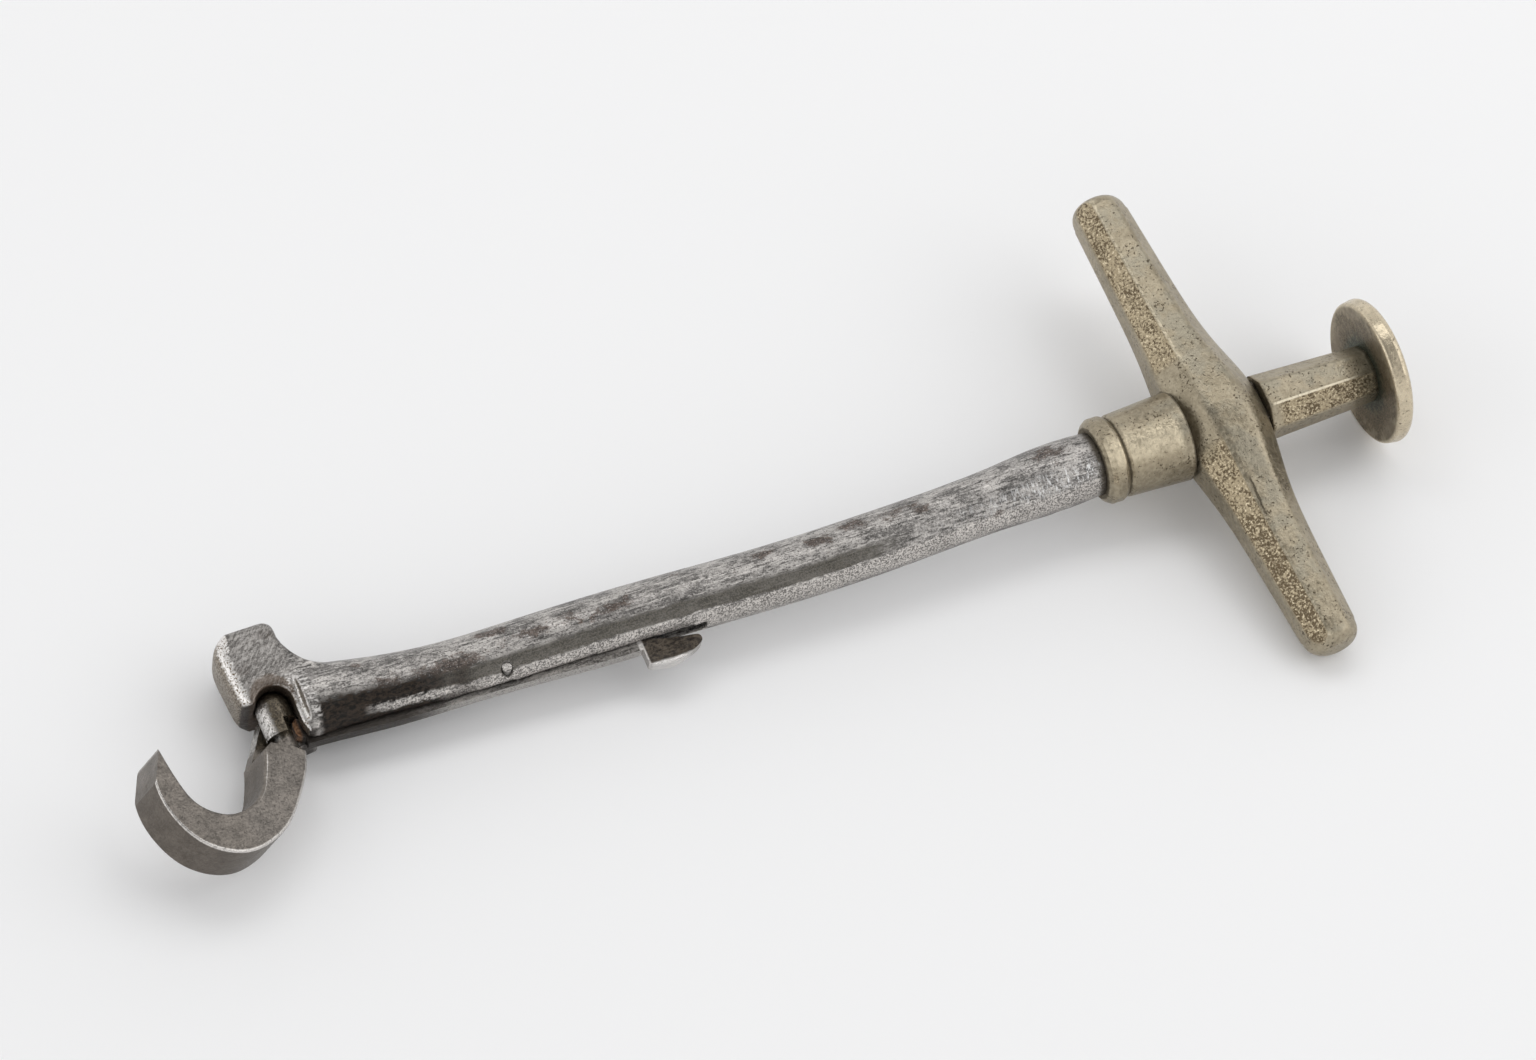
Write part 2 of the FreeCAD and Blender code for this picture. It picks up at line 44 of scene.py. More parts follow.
# How the tool lies: its own axes have X along the handle, Y along the crossbar, and the zero
# point where the two cross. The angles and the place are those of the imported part.
LIE_ROLL = math.radians(9.67)
LIE_PITCH = math.radians(1.79)
LYING = Euler((LIE_ROLL, -LIE_PITCH, 0))
TOOL_ZERO = Vector((61.1919, -0.1972, 8.7864)) * MM

# Camera, as a tripod would be set: what it looks at, from which side, how high and how far
CAMERA_TARGET = Vector((4.872, 9.678, 0.207)) * MM
CAMERA_TURN = math.radians(30.615)
CAMERA_HEIGHT = math.radians(54.217)
CAMERA_ROLL = math.radians(-8.376)
CAMERA_DISTANCE = 0.750
CAMERA_NEAR = 0.01
CAMERA_FAR = 20
PHOTO_WIDTH = 1536
FOCAL_PIXELS = 6000
SENSOR_WIDTH = 36.0

# The table, and the room's light round the sides and overhead
FLOOR_SIZE = 6.0
FLOOR_COLOUR = (0.92, 0.92, 0.925, 1)
FLOOR_ROUGHNESS = 0.9
FLOOR_GLOSS = 0.1
ROOM_SIDES = 1.05
ROOM_OVERHEAD = 0.22
ROOM_DIMS_FROM = 0.35
ROOM_DIMS_TO = 0.98

# The lamps: power, width and height, distance, and how their directions are made up
KEY_POWER = 3.7
KEY_SIZE = (1.1, 1.1)
KEY_DISTANCE = 1.2
KEY_LIFT = 1.0
STRIP_POWER = 3.0
STRIP_SIZE = (1.2, 0.45)
STRIP_DISTANCE = 1.1
STRIP_UP = 0.9
STRIP_BACK = 0.55
FILL_POWER = 1.3
FILL_SIZE = (0.9, 0.9)
FILL_DISTANCE = 1.3
FILL_BACK = 0.8

# Sizes of the handle in millimetres, as in the CAD part
UPPER_REACH = 34.0
LOWER_REACH = 33.6
ARM_TIP_FLATS = 6.8
ARM_TAPER = 0.07
HUB_SWELL = 3.4
HUB_SPREAD = 8.8
HUB_OFFSET = 0.5
ARM_LEAN = 0.05
TIP_ROUND = 2.8
HUB_FRONT = -5.3
HUB_BACK = 6.3
STEM_LENGTH = 15.2
STEM_FRONT_FLATS = 8.1
STEM_BACK_FLATS = 6.9

# Wear of the handle's edges, and how finely its skins are divided
ARM_SHARPNESS = 34
HUB_SHARPNESS = 17
HUB_MELT = 6.0
HUB_FRONT_EDGE = 0.12
HUB_BACK_EDGE = 0.45
TIP_SOFTNESS = 0.25
STEM_SHARPNESS = 40
BAR_SIDES = 96
BAR_STEP = 0.5
TIP_STEPS = 12
STEM_STEPS = 30

# Wear of the shaft: how finely it is divided, and how often it is smoothed over its whole
# length, from the bolster on, and at the bolster's far edge, with where these begin along X
WORN_VOXEL = 0.20
WHOLE_ROUNDS = 2
HEAD_ROUNDS = 14
HEAD_START = -120.8
HEAD_FADE = 1.6
EDGE_ROUNDS = 260
EDGE_START = -127.9
EDGE_FADE = 1.0

# The noises that marks are drawn from: scale per millimetre, detail, roughness and distortion
STEEL_CLOUD = (0.45, 5.0, 0.62)
STEEL_FINE = (2.4, 5.0, 0.75)
STEEL_GRAIN = (4.6, 3.0, 0.60)
STEEL_LINES = (1.0, 4.0, 0.70)
STEEL_PATCH = (0.42, 6.0, 0.70, 0.3)
SHAFT_WAVE = (0.14, 4.0)
FILE_NOISE = (1.0, 4.0, 0.8)
SLANTED_NOISE = (1.0, 4.0, 0.7)
NICKEL_CLOUD = (0.20, 5.0, 0.6)
NICKEL_FINE = (1.6, 6.0, 0.68)
NICKEL_GRAIN = (3.2, 4.0, 0.72)
NICKEL_HAZES = (0.28, 4.0)
NICKEL_SPOTS = (2.8, 3.0, 0.62)
NICKEL_CLUSTERS = (0.45, 3.0)
NICKEL_PATCHES = (0.55, 4.0, 0.7)
DISC_CLOUD = (0.30, 4.0, 0.6)
DISC_FINE = (1.5, 5.0, 0.68)
DISC_GRAIN = (4.5, 3.0, 0.6)
DISC_SPOTS = (2.6, 4.0, 0.66)

# How some of these noises are stretched along X, Y and Z
LINES_STRETCH = (0.30, 3.4, 3.4)
FILE_STRETCH = (3.2, 0.8, 0.8)
SLANTED_STRETCH = (0.9, 3.0, 1.5)

# Colours of the steel parts
RUST = (0.125, 0.090, 0.072, 1)
# Dark rust, and also painted as shade on the bolster's side towards the hook
DARK_RUST_AND_SHADE = (0.042, 0.033, 0.028, 1)
GRIME = (0.050, 0.040, 0.026, 1)
# The dark band's colours, a painted dark reflection
REFLECTION_BAND_DARK = (0.055, 0.051, 0.043, 1)
REFLECTION_BAND_LIGHT = (0.155, 0.143, 0.121, 1)
FLANK_DARK = (0.010, 0.009, 0.008, 1)
FLANK_LIGHT = (0.036, 0.026, 0.019, 1)
SIDE_LIGHT = (0.42, 0.37, 0.30, 1)
SIDE_DARK = (0.085, 0.058, 0.036, 1)
GOLD_FLECK = (0.16, 0.11, 0.055, 1)
SOCKET_BROWN = (0.115, 0.080, 0.055, 1)
PEG_DARK = (0.034, 0.028, 0.020, 1)
PEG_LIGHT = (0.150, 0.125, 0.090, 1)
HOOK_SIDE = (0.095, 0.078, 0.062, 1)
NOSE_DARK = (0.12, 0.060, 0.030, 1)
NOSE_LIGHT = (0.36, 0.20, 0.11, 1)
LEVER_END = (0.040, 0.034, 0.029, 1)
# The pad's hollow top, painted shade
PAD_SHADE_DARK = (0.018, 0.014, 0.011, 1)
PAD_SHADE_LIGHT = (0.085, 0.068, 0.050, 1)

# Colours of the handle
NICKEL_LIGHT = (0.395, 0.342, 0.250, 1)
NICKEL_DARK = (0.275, 0.235, 0.166, 1)
NICKEL_HAZE = (0.290, 0.272, 0.218, 1)
NICKEL_SPECK = (0.07, 0.052, 0.030, 1)
# Painted highlights on the edges between the facets of the arms and the stem
ARM_RIDGE_HIGHLIGHT = (0.66, 0.58, 0.43, 1)
STEM_RIDGE_HIGHLIGHT = (0.78, 0.70, 0.54, 1)
# Painted shade of the lower arm's crease
CREASE_SHADE = (0.060, 0.048, 0.032, 1)
FACET_GOLD = (0.43, 0.345, 0.220, 1)
FACET_POCK = (0.105, 0.074, 0.042, 1)
FACET_GLINT = (0.80, 0.70, 0.50, 1)
# Painted highlight on the ferrule
FERRULE_HIGHLIGHT = (0.66, 0.575, 0.420, 1)
SCOOP_SHADE = (0.11, 0.095, 0.062, 1)
STEM_GREEN = (0.060, 0.058, 0.038, 1)
DISC_DARK = (0.24, 0.200, 0.145, 1)
DISC_LIGHT = (0.46, 0.400, 0.295, 1)
TARNISH_DARK = (0.085, 0.066, 0.045, 1)
TARNISH_LIGHT = (0.21, 0.170, 0.115, 1)
VERDIGRIS_DARK = (0.030, 0.040, 0.030, 1)
VERDIGRIS_LIGHT = (0.075, 0.105, 0.080, 1)
DISC_RIM = (0.66, 0.57, 0.42, 1)
DISC_SPECK = (0.06, 0.045, 0.028, 1)

# Where marks lie. Lengths are millimetres on the tool's axes, and angles are degrees round the
# shaft from its top towards the lever. Two numbers are a fade from nothing to full, and three
# are the ends of a stretch and how soft they are.
# The strip is painted as a bright reflection of the floor, and the band as a dark reflection
STRIP_ALONG = (-114.5, -111.5)
STRIP_TOP = (46.0, 54.0)
STRIP_BOTTOM = (98.0, 86.0)
BAND_ALONG = (-107.0, -47.0, 4.0)
BAND_TOP = (16.0, 26.0)
BAND_BOTTOM = (49.5, 45.5)
ROD_ALONG = (-121.6, -120.4)
FLANK_ALONG = (-99.0, -108.0)
FLANK_TOP = (8.0, 24.0)
SCRAPE_ALONG = (-114.5, -104.0, 1.2)
SCRAPE_AROUND = (46.0, 60.0, 4.0)
# The file marks also stand in as a painted highlight
FILED_ALONG = (-44.0, -22.0)
FILED_AROUND = (14.0, 46.0, 10.0)
COLLAR_GRIME = (-17.6, -16.7)
BOLSTER_ALONG = (-121.2, -122.4)
SOCKET_RING = (3.15, 2.75)
SOCKET_ACROSS = (1.0, 2.4)
EAR_ALONG = (-123.1, -120.5, 0.3)
EAR_ACROSS = (-1.2, 5.5, 0.5)
PEG_ACROSS = (-1.6, -0.9)
PEG_TOP = (4.2, 3.0)
HOOK_ACROSS = (-3.0, -4.5)
NOSE_ALONG = (-122.9, -123.4)
LEVER_DARK_ALONG = (-103.0, -110.0)
LEVER_BRIGHT_ALONG = (-110.0, -102.0)
PAD_ALONG = (-80.6, -80.0)
PAD_LIP = (-80.5, -79.9, 0.12)
PAD_RIM = (-6.55, -6.95)
STEM_FACET_ALONG = (7.0, 8.5)
FERRULE_FACET_ALONG = (-6.5, -7.5)
STEM_RIDGE_FRONT = (6.6, 7.4)
STEM_RIDGE_BACK = (20.0, 17.0)
# Where the ferrule's painted highlight lies
FERRULE_ALONG = (-6.0, -7.0)
LOWER_ARM_END = (-14.0, -22.0)
STEM_GREEN_ALONG = (18.8, 22.2)
STEM_GREEN_END = (21.8, 21.4)
DISC_FACE = (22.1, 21.7)
DISC_EDGE = (8.75, 9.15)
TARNISH_ROUND = (9.5, 4.0)
VERDIGRIS_ROUND = (6.2, 4.0)

# Joints of the handle that hold grime: place along X, width, and how far from the axis
GRIME_JOINTS = ((-16.9, 0.10, 6.0), (-13.95, 0.16, 6.0), (-5.35, 0.12, 5.95), (6.35, 0.05, 4.6))
GRIME_RIM = 0.15

# The latch's pin, the claw's peg and hook, the scoop on the hub beside the ferrule, and the
# lower arm's crease. The scoop and the crease are not modelled: they are drawn only as painted shade.
PIN_X = -97.2
PIN_Y = -2.3
PIN_RING = 0.70
PEG_X = -125.35
PEG_ARCH = 2.6
CLAW_TURN = math.radians(25)
HOOK_MIDDLE_X = -136.0
HOOK_MIDDLE_Y = -5.5
SCOOP_X = -3.4
SCOOP_Y = -4.6
SCOOP_LENGTH = 1.4
SCOOP_WIDTH = 1.9
CREASE_X = -0.6
CREASE_ACROSS = (-15.3, -10.0, 0.5)
CREASE_WIDTH = (0.22, 0.08)

# Rust stains on the shaft and the bolster: place along X and Y, half length and half width
SHAFT_STAINS = (
    (-23.3, 1.9, 2.8, 0.9),
    (-41.2, 0.3, 1.5, 0.9),
    (-45.0, 0.4, 1.7, 1.0),
    (-50.4, 0.9, 2.4, 0.9),
    (-54.6, 0.3, 2.2, 0.7),
    (-31.7, -3.4, 0.8, 0.35),
    (-62.0, 1.0, 1.5, 0.4),
    (-81.8, 0.5, 2.4, 0.9),
    (-87.4, 0.5, 2.8, 1.2),
    (-92.4, 0.6, 1.9, 0.8),
    (-97.6, 2.4, 2.4, 0.5),
    (-102.4, -0.1, 3.4, 1.5),
    (-106.8, -0.6, 2.4, 1.3),
    (-111.2, 0.2, 2.0, 0.9),
    (-114.8, 3.7, 1.1, 0.5),
    (-123.0, 11.7, 1.3, 0.8),
    (-127.8, 7.6, 1.4, 0.8),
)

# How far a stain reaches, in its half sizes, and how far the shaft's marks wander and fray
STAIN_REACH = 2.1
SHAFT_WANDER = 22.0
SHAFT_FRAY = 26.0


class Shader:
    """Short words for building a material's nodes."""

    def __init__(self, name):
        self.material = bpy.data.materials.new(name)
        self.material.use_nodes = True
        self.tree = self.material.node_tree
        self.tree.nodes.clear()
        self.output = self.tree.nodes.new("ShaderNodeOutputMaterial")
        self.principled = self.tree.nodes.new("ShaderNodeBsdfPrincipled")
        self.tree.links.new(self.principled.outputs["BSDF"], self.output.inputs["Surface"])

    def feed(self, socket, value):
        """A socket gets a link or a fixed value."""
        if isinstance(value, bpy.types.NodeSocket):
            self.tree.links.new(value, socket)
        else:
            socket.default_value = value

    def tool_place(self):
        """A point of the surface in millimetres on the tool's own axes."""
        mapping = self.tree.nodes.new("ShaderNodeMapping")
        mapping.vector_type = "TEXTURE"
        self.feed(mapping.inputs["Vector"], self.tree.nodes.new("ShaderNodeTexCoord").outputs["Object"])
        mapping.inputs["Location"].default_value = TOOL_ZERO
        mapping.inputs["Rotation"].default_value = LYING
        mapping.inputs["Scale"].default_value = (MM, MM, MM)
        return mapping.outputs["Vector"]

    def tool_normal(self):
        """The surface's own direction on the tool's axes."""
        mapping = self.tree.nodes.new("ShaderNodeMapping")
        mapping.vector_type = "TEXTURE"
        self.feed(mapping.inputs["Vector"], self.tree.nodes.new("ShaderNodeTexCoord").outputs["Normal"])
        mapping.inputs["Rotation"].default_value = LYING
        return mapping.outputs["Vector"]

    def axes(self, vector):
        split = self.tree.nodes.new("ShaderNodeSeparateXYZ")
        self.feed(split.inputs[0], vector)
        return split.outputs[0], split.outputs[1], split.outputs[2]

    def join(self, x, y, z):
        node = self.tree.nodes.new("ShaderNodeCombineXYZ")
        for socket, value in zip(node.inputs, (x, y, z)):
            self.feed(socket, value)
        return node.outputs[0]

    def maths(self, operation, first, second=0.0, clamp=False):
        node = self.tree.nodes.new("ShaderNodeMath")
        node.operation = operation
        node.use_clamp = clamp
        self.feed(node.inputs[0], first)
        self.feed(node.inputs[1], second)
        return node.outputs[0]

    def plus(self, *values):
        result = values[0]
        for value in values[1:]:
            result = self.maths("ADD", result, value)
        return result

    def minus(self, first, second):
        return self.maths("SUBTRACT", first, second)

    def times(self, *values):
        result = values[0]
        for value in values[1:]:
            result = self.maths("MULTIPLY", result, value)
        return result

    def larger(self, first, second):
        return self.maths("MAXIMUM", first, second)

    def uneven(self, noise, reach):
        """A noise turned into an unevenness round zero."""
        return self.times(self.minus(noise, 0.5), reach)

    def length(self, vector):
        node = self.tree.nodes.new("ShaderNodeVectorMath")
        node.operation = "LENGTH"
        self.feed(node.inputs[0], vector)
        return node.outputs["Value"]

    def stretch(self, vector, scale, offset=(0, 0, 0)):
        node = self.tree.nodes.new("ShaderNodeMapping")
        self.feed(node.inputs["Vector"], vector)
        node.inputs["Scale"].default_value = scale
        node.inputs["Location"].default_value = offset
        return node.outputs["Vector"]

    def noise(self, vector, scale, detail=3.0, rough=0.55, warp=0.0):
        node = self.tree.nodes.new("ShaderNodeTexNoise")
        self.feed(node.inputs["Vector"], vector)
        node.inputs["Scale"].default_value = scale
        node.inputs["Detail"].default_value = detail
        node.inputs["Roughness"].default_value = rough
        node.inputs["Distortion"].default_value = warp
        return node.outputs["Fac"]

    def ramp(self, value, low, high, start=0.0, end=1.0):
        """The value's smooth change from start, at low, to end, at high; high may be under low."""
        node = self.tree.nodes.new("ShaderNodeMapRange")
        node.interpolation_type = "SMOOTHSTEP"
        self.feed(node.inputs["Value"], value)
        if high > low:
            ends = (low, high, start, end)
        else:
            ends = (high, low, end, start)
        for name, number in zip(("From Min", "From Max", "To Min", "To Max"), ends):
            node.inputs[name].default_value = number
        return node.outputs["Result"]

    def between(self, value, low, high, soft):
        """A mask that is full between low and high, with soft ends."""
        rise = self.ramp(value, low - soft, low + soft)
        fall = self.ramp(value, high + soft, high - soft)
        return self.times(rise, fall)

    def mix(self, share, first, second):
        """A colour between two others."""
        node = self.tree.nodes.new("ShaderNodeMix")
        node.data_type = "RGBA"
        node.clamp_factor = True
        self.feed(node.inputs[0], share)
        self.feed(node.inputs[6], first)
        self.feed(node.inputs[7], second)
        return node.outputs[2]

    def paint(self, colour, mask, strength, other):
        """Another colour laid over this one where the mask is."""
        return self.mix(self.times(mask, strength), colour, other)

    def blend(self, share, first, second):
        """A number between two others."""
        node = self.tree.nodes.new("ShaderNodeMix")
        node.data_type = "FLOAT"
        node.clamp_factor = True
        self.feed(node.inputs[0], share)
        self.feed(node.inputs[2], first)
        self.feed(node.inputs[3], second)
        return node.outputs[0]

    def bump(self, height, depth, normal=None):
        """Relief from a height between 0 and 1, its depth in millimetres."""
        node = self.tree.nodes.new("ShaderNodeBump")
        node.inputs["Strength"].default_value = 1.0
        node.inputs["Distance"].default_value = depth * MM
        self.feed(node.inputs["Height"], height)
        if normal is not None:
            self.feed(node.inputs["Normal"], normal)
        return node.outputs["Normal"]

    def finish(self, colour, roughness, metallic, normal=None):
        self.feed(self.principled.inputs["Base Color"], colour)
        self.feed(self.principled.inputs["Roughness"], roughness)
        self.feed(self.principled.inputs["Metallic"], metallic)
        if normal is not None:
            self.feed(self.principled.inputs["Normal"], normal)
        return self.material


class Surface:
    """What marks are placed by: the point and its direction on the tool's axes, and two noises."""

    def __init__(self, s, place, fine, grain):
        self.place = place
        self.x, self.y, self.z = s.axes(place)
        self.nx, self.ny, self.nz = s.axes(s.tool_normal())
        self.fine = fine
        self.grain = grain


def grey(value, warm=0.0):
    """A grey that leans to brown as warm rises."""
    return (value * (1 + warm), value, value * (1 - warm), 1)


def stains_near(s, place, stains):
    """How near a point is to the listed stains, on the side that faces up: 1 at their middles."""
    x, y, z = s.axes(place)
    flat = s.join(x, y, 0.0)
    near = 0.0
    for along, across, half_length, half_width in stains:
        inverse = (1 / half_length, 1 / half_width, 1)
        local = s.stretch(flat, inverse, (-along / half_length, -across / half_width, 0))
        near = s.larger(near, s.ramp(s.length(local), STAIN_REACH, 0.0))
    return s.times(near, s.ramp(z, -0.5, 0.5))


def worn_steel(name, light=0.46, dark=0.14, stain_share=0.5, warm=0.05, stretch=0.6, mottle=1.0,
               stains=(), regions=None):
    """Old steel: grey mottling, file scratches along X, brown rust stains and dark pits."""
    s = Shader(name)
    place = s.tool_place()
    along = s.stretch(place, (stretch, 1, 1))
    cloud = s.noise(along, *STEEL_CLOUD)
    fine = s.noise(along, *STEEL_FINE)
    grain = s.noise(place, *STEEL_GRAIN)
    lines = s.noise(s.stretch(place, LINES_STRETCH), *STEEL_LINES)
    tone = s.plus(s.times(cloud, 0.50), s.times(fine, 0.50))
    spread = 0.085 + 0.10 * (1 - mottle)
    colour = s.mix(s.ramp(tone, 0.5 - spread, 0.5 + spread), grey(dark, warm), grey(light, warm))
    colour = s.mix(s.ramp(lines, 0.56, 0.66, 0.0, 0.70 * mottle), colour, grey(light * 1.5, warm))
    colour = s.mix(s.ramp(lines, 0.45, 0.37, 0.0, 0.80 * mottle), colour, grey(dark * 0.4, warm))
    rust = rust_patches(s, place, along, fine, stain_share, stains)
    colour = s.mix(rust, colour, s.mix(s.ramp(fine, 0.38, 0.62), DARK_RUST_AND_SHADE, RUST))
    pits = s.ramp(grain, 0.58, 0.64)
    colour = s.paint(colour, pits, 0.80 * mottle, grey(0.040, 0.1))
    colour = s.paint(colour, s.ramp(grain, 0.42, 0.37), 0.32 * mottle, grey(light * 1.6, warm))
    roughness = s.blend(rust, s.ramp(fine, 0.3, 0.7, 0.30, 0.46), 0.60)
    metallic = s.blend(rust, 0.85, 0.45)
    if regions is not None:
        colour, roughness = regions(s, Surface(s, place, fine, grain), colour, roughness)
    normal = s.bump(s.minus(1.0, pits), 0.05)
    normal = s.bump(s.plus(s.times(lines, 0.6), s.times(grain, 0.4)), 0.07, normal)
    normal = s.bump(cloud, 0.16, normal)
    return s.finish(colour, roughness, metallic, normal)


def rust_patches(s, place, along, fine, stain_share, stains):
    """Ragged patches of rust, more of them near the listed stains."""
    patch = s.noise(along, *STEEL_PATCH)
    near = 0.0
    if stains:
        near = s.times(stains_near(s, place, stains), 0.27)
    limit = 0.68 - 0.10 * stain_share
    return s.ramp(s.plus(patch, near, s.uneven(fine, 0.35)), limit, limit + 0.12, 0.0, 0.85)


def shaft_regions(s, at, colour, roughness):
    """The shaft's own marks: a bright strip painted as a reflection of the floor, a dark band above
    it along the bow painted as a reflection, a dark flank near the claw, bright file marks that also
    stand in as a painted highlight, grime beside the ferrule, and those of the bolster."""
    wave = s.uneven(s.noise(at.place, *SHAFT_WAVE), SHAFT_WANDER)
    ragged = s.uneven(at.fine, SHAFT_FRAY)
    around = s.times(s.maths("ARCTAN2", s.times(at.ny, -1.0), at.nz), 180 / math.pi)
    angle = s.plus(around, s.times(wave, 0.35))
    torn = s.plus(angle, ragged)
    # Painted reflection of the floor: a bright speckled strip below the dark band
    strip = s.times(s.ramp(at.x, *STRIP_ALONG), s.ramp(torn, *STRIP_TOP), s.ramp(torn, *STRIP_BOTTOM))
    painted_floor_reflection = s.mix(s.ramp(at.grain, 0.44, 0.56), grey(0.72, 0.06), grey(0.20, 0.06))
    colour = s.paint(colour, strip, 0.62, painted_floor_reflection)
    # Painted dark reflection: an olive band along the bow
    olive = s.mix(s.ramp(at.grain, 0.40, 0.62), REFLECTION_BAND_DARK, REFLECTION_BAND_LIGHT)
    colour = s.paint(colour, painted_dark_reflection(s, at, wave, angle, ragged), 0.86, olive)
    flank = dark_flank(s, at, wave, torn)
    brown = s.mix(s.ramp(at.fine, 0.40, 0.60), FLANK_DARK, FLANK_LIGHT)
    colour = s.paint(colour, flank, 0.98, brown)
    # Bright file marks, also standing in as a painted highlight near the ferrule
    filed_and_highlight = file_marks_and_highlight(s, at, wave, angle)
    colour = s.paint(colour, filed_and_highlight, 0.75, grey(0.85))
    collar = s.ramp(s.plus(at.x, s.times(at.fine, 1.2)), *COLLAR_GRIME)
    colour = s.paint(colour, collar, 0.9, GRIME)
    colour = s.paint(colour, pin_ring(s, at), 0.85, grey(0.03))
    colour, edge = bolster_marks(s, at, colour)
    roughness = s.blend(s.larger(filed_and_highlight, edge), roughness, 0.30)
    roughness = s.blend(s.times(flank, 0.8), roughness, 0.36)
    return colour, roughness


def painted_dark_reflection(s, at, wave, angle, ragged):
    """A dark reflection painted as a band along the bow, with a torn upper edge and a cleaner lower one."""
    along = s.between(s.plus(at.x, s.times(wave, 0.3)), *BAND_ALONG)
    top = s.ramp(s.plus(angle, s.times(ragged, 0.6)), *BAND_TOP)
    bottom = s.ramp(s.plus(angle, s.times(ragged, 0.3)), *BAND_BOTTOM)
    return s.times(along, top, bottom, s.ramp(at.nz, 0.1, 0.3))


def dark_flank(s, at, wave, torn):
    """The dark side of the rod near the claw, with one scrape left bright in it."""
    along = s.times(s.ramp(at.x, *ROD_ALONG), s.ramp(s.plus(at.x, wave), *FLANK_ALONG))
    scrape = s.times(s.between(at.x, *SCRAPE_ALONG), s.between(torn, *SCRAPE_AROUND))
    return s.times(along, s.ramp(torn, *FLANK_TOP), s.minus(1.0, scrape))


def file_marks_and_highlight(s, at, wave, angle):
    """Bright file marks across the shaft towards the ferrule, which also stand in as a painted highlight
    there.
    """
    cross = s.noise(s.stretch(at.place, FILE_STRETCH), *FILE_NOISE)
    along = s.ramp(s.plus(at.x, wave), *FILED_ALONG)
    return s.times(along, s.between(angle, *FILED_AROUND), s.ramp(cross, 0.50, 0.60))


def pin_ring(s, at):
    """A dark ring round the latch's pin."""
    from_pin = s.length(s.join(s.minus(at.x, PIN_X), s.minus(at.y, PIN_Y), 0.0))
    near = s.ramp(s.plus(from_pin, s.times(at.grain, 0.4)), PIN_RING + 0.35, PIN_RING + 0.05)
    return s.times(near, s.ramp(at.nz, 0.0, 0.2))


def bolster_marks(s, at, colour):
    """The bolster: matt faces with slanting marks, the side towards the hook painted dark as shade in
    the dark rust colour, a bright edge, rubbed and with a painted highlight, with gold-brown flecks,
    brown round the socket, and a rubbed ear beside it, partly a painted highlight."""
    block = s.ramp(at.x, *BOLSTER_ALONG)
    slanted = s.join(s.plus(at.x, at.y), s.minus(at.x, at.y), at.z)
    diagonal = s.noise(s.stretch(slanted, SLANTED_STRETCH), *SLANTED_NOISE)
    matt = s.mix(s.ramp(diagonal, 0.42, 0.58), grey(0.34, 0.05), grey(0.10, 0.08))
    colour = s.paint(colour, block, 0.70, matt)
    # Painted shade: the block's side towards the hook darkened with the dark rust colour
    colour = s.paint(colour, s.times(block, s.ramp(at.ny, -0.3, -0.7)), 0.85, DARK_RUST_AND_SHADE)
    ragged = s.uneven(at.fine, 0.9)
    sideways = s.plus(at.nx, ragged)
    worn_side = s.mix(s.ramp(at.grain, 0.42, 0.58), SIDE_LIGHT, SIDE_DARK)
    colour = s.paint(colour, s.times(block, s.ramp(sideways, -0.70, -0.90)), 0.85, worn_side)
    # A rubbed edge, painted bright also as a highlight where the edge rounds over
    edge = s.times(block, s.between(sideways, -0.80, -0.26, 0.10), s.ramp(at.nz, 0.15, 0.4))
    colour = s.mix(edge, colour, grey(0.78, 0.03))
    colour = s.mix(s.times(edge, s.ramp(at.grain, 0.53, 0.60)), colour, GOLD_FLECK)
    away = s.times(s.minus(at.y, PEG_ARCH), 0.8)
    from_peg = s.plus(s.length(s.join(s.minus(at.x, PEG_X), away, 0.0)), ragged)
    ring = s.times(block, s.ramp(from_peg, *SOCKET_RING), s.ramp(at.y, *SOCKET_ACROSS))
    colour = s.paint(colour, ring, 0.6, SOCKET_BROWN)
    # A rubbed ear, partly a painted highlight on its up-facing side
    ear = s.times(s.between(at.x, *EAR_ALONG), s.between(at.y, *EAR_ACROSS), s.ramp(at.nz, 0.6, 0.9))
    colour = s.paint(colour, s.times(ear, s.ramp(at.fine, 0.50, 0.58)), 0.8, grey(0.74, 0.03))
    return colour, edge


def claw_regions(s, at, colour, roughness):
    """The claw: an olive-brown peg with a painted highlight on its left, a browner rim round the hook,
    and a painted highlight along the hook's outer edge."""
    peg = s.ramp(at.y, *PEG_ACROSS)
    tone = s.mix(s.ramp(at.fine, 0.38, 0.62), PEG_DARK, PEG_LIGHT)
    colour = s.paint(colour, peg, 0.9, tone)
    # Painted highlight on the peg's left side
    leftward = s.plus(at.nx, s.uneven(at.fine, 1.2))
    rubbed = s.times(peg, s.ramp(leftward, -0.25, -0.60), s.ramp(at.fine, 0.42, 0.54, 0.25, 1.0),
                     s.ramp(at.y, *PEG_TOP))
    colour = s.paint(colour, rubbed, 0.9, grey(0.72, 0.03))
    facing = s.plus(s.times(at.nx, math.sin(CLAW_TURN)), s.times(at.nz, math.cos(CLAW_TURN)))
    across = s.times(s.minus(at.y, HOOK_MIDDLE_Y), at.ny)
    outward = s.plus(across, s.times(s.minus(at.x, HOOK_MIDDLE_X), at.nx))
    hook = s.ramp(at.y, *HOOK_ACROSS)
    # Painted highlight along the hook's outer edge
    painted_hook_highlight = s.times(s.between(facing, 0.30, 0.97, 0.04), s.ramp(outward, 0.2, 1.0), hook,
                    s.ramp(at.fine, 0.30, 0.50, 0.25, 1.0))
    side = s.times(s.ramp(facing, 0.30, 0.05), hook)
    colour = s.paint(colour, side, 0.50, HOOK_SIDE)
    colour = s.paint(colour, painted_hook_highlight, 0.75, grey(0.70, 0.04))
    roughness = s.blend(s.larger(peg, painted_hook_highlight), roughness, 0.26)
    return colour, roughness


